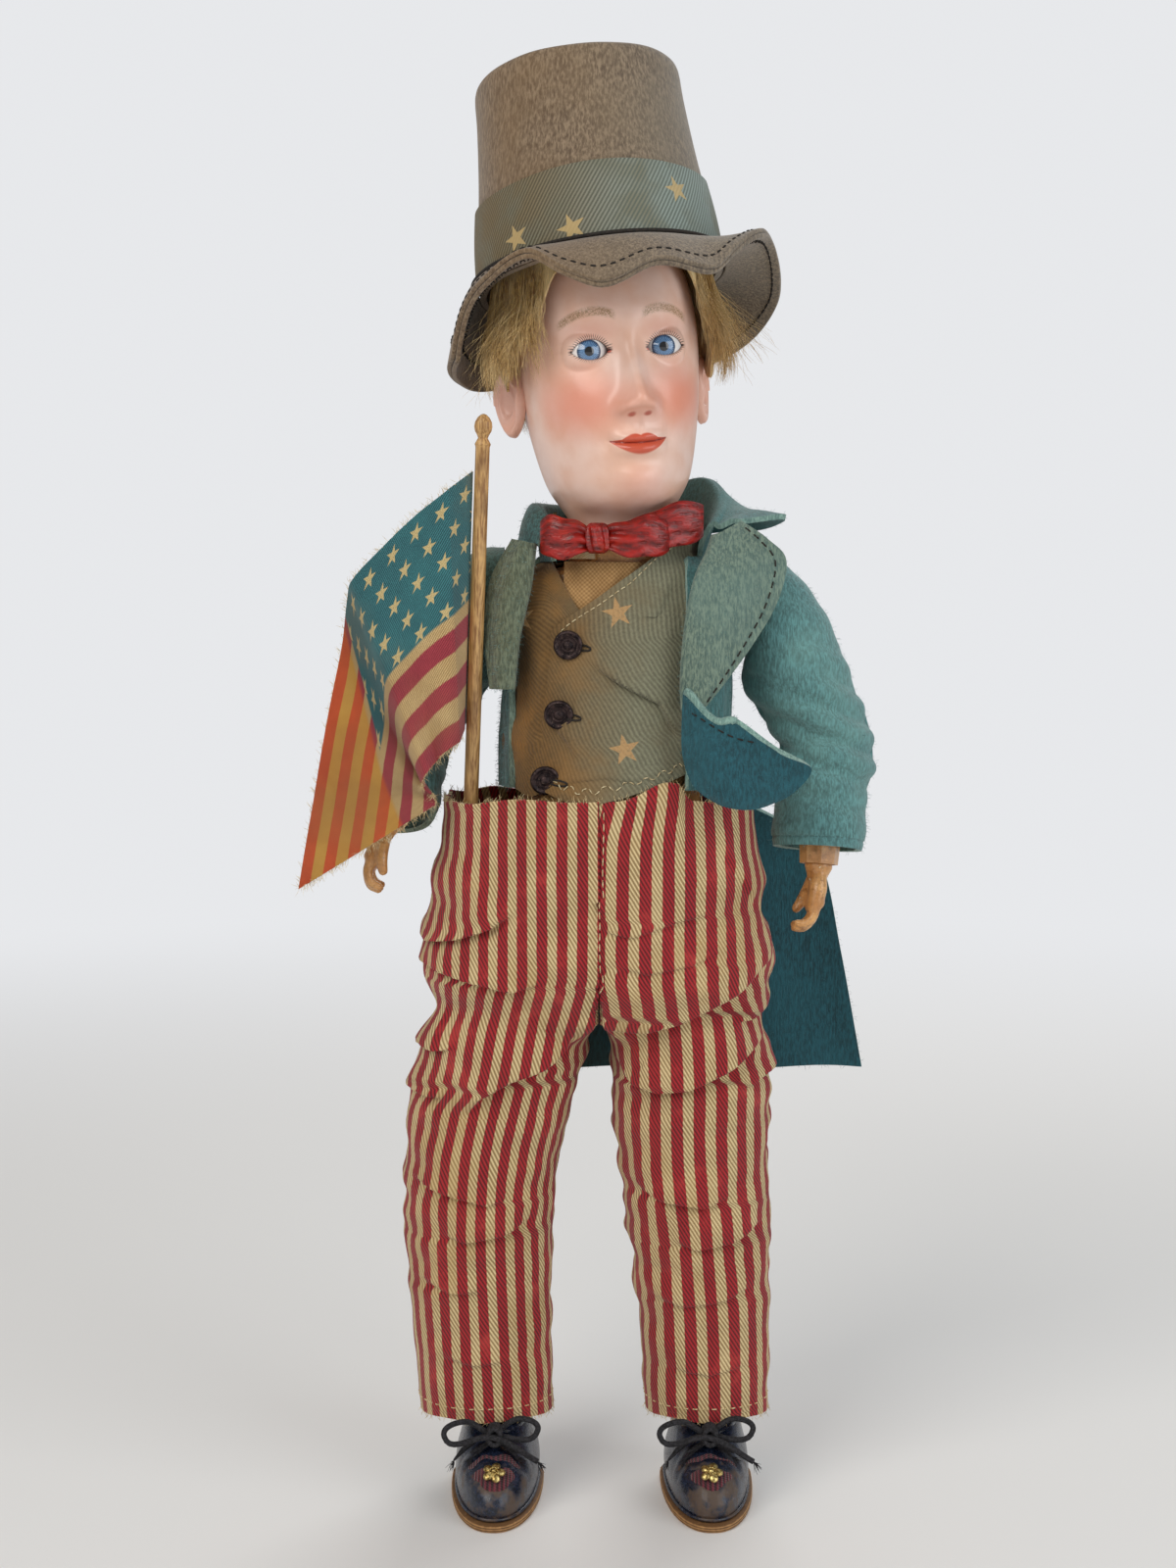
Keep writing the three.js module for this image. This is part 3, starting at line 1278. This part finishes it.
// Trousers: one wide garment of striped twill from the waist to the hems, with its bunched folds.
// Seat stations are [height, half width, front, back]; leg stations are [height, middle's x, half
// width, front, back].
const SEAT_STATIONS = [
  [TROUSER_TOP, 43, 32, 21.8],
  [188, 43.8, 32.4, 23.6],
  [177, 46.6, 32.6, 25],
  [169, 45.6, 31, 26],
  [160, 48.4, 31, 27],
  [148, 48.4, 29.6, 27],
  [134, 40, 22, 21],
];
const LEG_STATIONS = {
  [RIGHT]: [
    [151, -23, 19, 21, 22],
    [138, -26, 22, 23, 22],
    [126, -28.2, 23.6, 22, 21],
    [112, -31.5, 23.2, 20.8, 20],
    [98, -34, 21.6, 19.6, 19.6],
    [80, -35, 21.4, 19, 19.4],
    [54, -34.4, 20, 17.8, 18.6],
    [TROUSER_HEM, -33, 19, 16.4, 17.4],
  ],
  [LEFT]: [
    [151, 22, 19, 21, 22],
    [138, 24, 21.4, 23, 22],
    [126, 24.8, 22.4, 21.8, 21],
    [112, 25, 22.4, 21.4, 20],
    [98, 25.4, 21.4, 19.4, 19.6],
    [80, 27, 20.4, 19, 19.4],
    [54, 29, 18.8, 17.8, 18.6],
    [TROUSER_HEM, 30, 17.6, 16.4, 17.4],
  ],
};
function trousers() {
  const seatMiddle = -1;
  const pucker = (z, p) => 0.9 * Math.sin(z * 0.42 + p.x * 0.09) * (p.y < 0 ? 1 : 0.6);
  const layer = (inset) => {
    const draw = (z, ring) => ring.map((p) => p.setY(p.y + (z < TROUSER_TOP ? pucker(z, p) : 0)));
    const seat = SEAT_STATIONS.map(([z, w, f, b], i) => {
      const level = inset && i === 0 ? z + 1 : z + (inset && i === SEAT_STATIONS.length - 1 ? inset : 0);
      const ring = oval(level, w - inset, f - inset, b - inset, { x: seatMiddle, points: 16, power: 2.5 });
      return draw(z, ring);
    });
    const legs = SIDES.map(([, side]) =>
      skin(
        LEG_STATIONS[side].map(([z, x, w, f, b], i, all) => {
          const y = 3 * clamp((KNEE_HEIGHT - z) / 60, 0, 1);
          const level = inset && i === all.length - 1 ? z - 1 : z;
          const ring = oval(level, w - inset, f - inset, b - inset, { x, y, points: 12, power: 2.2 });
          return draw(z, ring);
        })
      )
    );
    return join(skin(seat), ...legs);
  };
  return cut(layer(0), layer(CLOTH_THICKNESS));
}
add(doll, "trousers", trousers(), TROUSER_TWILL);

// Flag: a cotton print glued by its edge to a turned stick, which is tucked into the trousers' waist.
const STICK_FOOT = V(-36.4, -13.5, 189.6);
const STICK_TOP = V(-31.6, -25, 303);
const stickAt = (z) => along(STICK_FOOT, STICK_TOP, ((z - STICK_FOOT.z) * STICK_LENGTH) / (STICK_TOP.z - STICK_FOOT.z));

function flagStick() {
  const profile = [
    [0, 0],
    [STICK_RADIUS * 0.8, 0],
    [STICK_RADIUS, 2],
    [STICK_RADIUS, STICK_LENGTH - 8],
    [STICK_RADIUS * 0.7, STICK_LENGTH - 6.4],
    [STICK_RADIUS * 1.2, STICK_LENGTH - 3.6],
    [STICK_RADIUS, STICK_LENGTH - 1],
    [0, STICK_LENGTH],
  ].map(([r, y]) => new THREE.Vector2(r, y));
  const stick = new THREE.LatheGeometry(profile, 10);
  stick.applyQuaternion(new THREE.Quaternion().setFromUnitVectors(V(0, 1, 0), towards(STICK_FOOT, STICK_TOP)));
  return stick.translate(STICK_FOOT.x, STICK_FOOT.y, STICK_FOOT.z);
}
add(doll, "flag_stick", flagStick(), WOOD);

// The cloth falls from its hoist to a corner, where it folds back and hangs down behind. Stations are
// [share of the fly, top edge's x, y, z, bottom edge's x, y, z].
const FLAG_STATIONS = [
  [0, 0, 0, 288, 0, 0, 219],
  [0.1, -41, -28.6, 283, -38.5, -25, 216],
  [0.22, -50, -27.4, 276, -41.5, -27.6, 214],
  [0.34, -59, -31.6, 267, -44.5, -25.6, 211],
  [0.44, -66, -31.6, 259.5, -47, -29, 208],
  [0.5, -67.6, -28.6, 255, -48.4, -26.4, 205],
  [0.62, -70, -25.4, 240, -47, -22.6, 203],
  [0.75, -73.6, -27.6, 222, -46, -24.6, 202],
  [0.88, -78, -25, 199, -45.4, -21.6, 201],
  [1, -81.8, -27, 176.5, -45, -23.6, 199],
];
function flagCloth() {
  const down = 7;
  return slab(
    FLAG_STATIONS.map(([s, ...ends]) => {
      const [top, bottom] = [V(...ends.slice(0, 3)), V(...ends.slice(3))];
      if (s === 0)
        for (const p of [top, bottom]) {
          const z = p.z;
          p.copy(stickAt(z));
          p.x -= STICK_RADIUS + CLEARANCE + 0.2;
        }
      return Array.from({ length: down }, (_, j) => {
        const t = j / (down - 1);
        const p = top.clone().lerp(bottom, t);
        p.y -= 1.6 * Math.sin(Math.PI * t) * Math.sin(TURN * s * 1.3);
        return p;
      });
    }),
    FLAG_THICKNESS
  );
}
add(doll, "flag_cloth", flagCloth(), FLAG_COTTON);

doll.updateMatrixWorld(true);
export default doll;
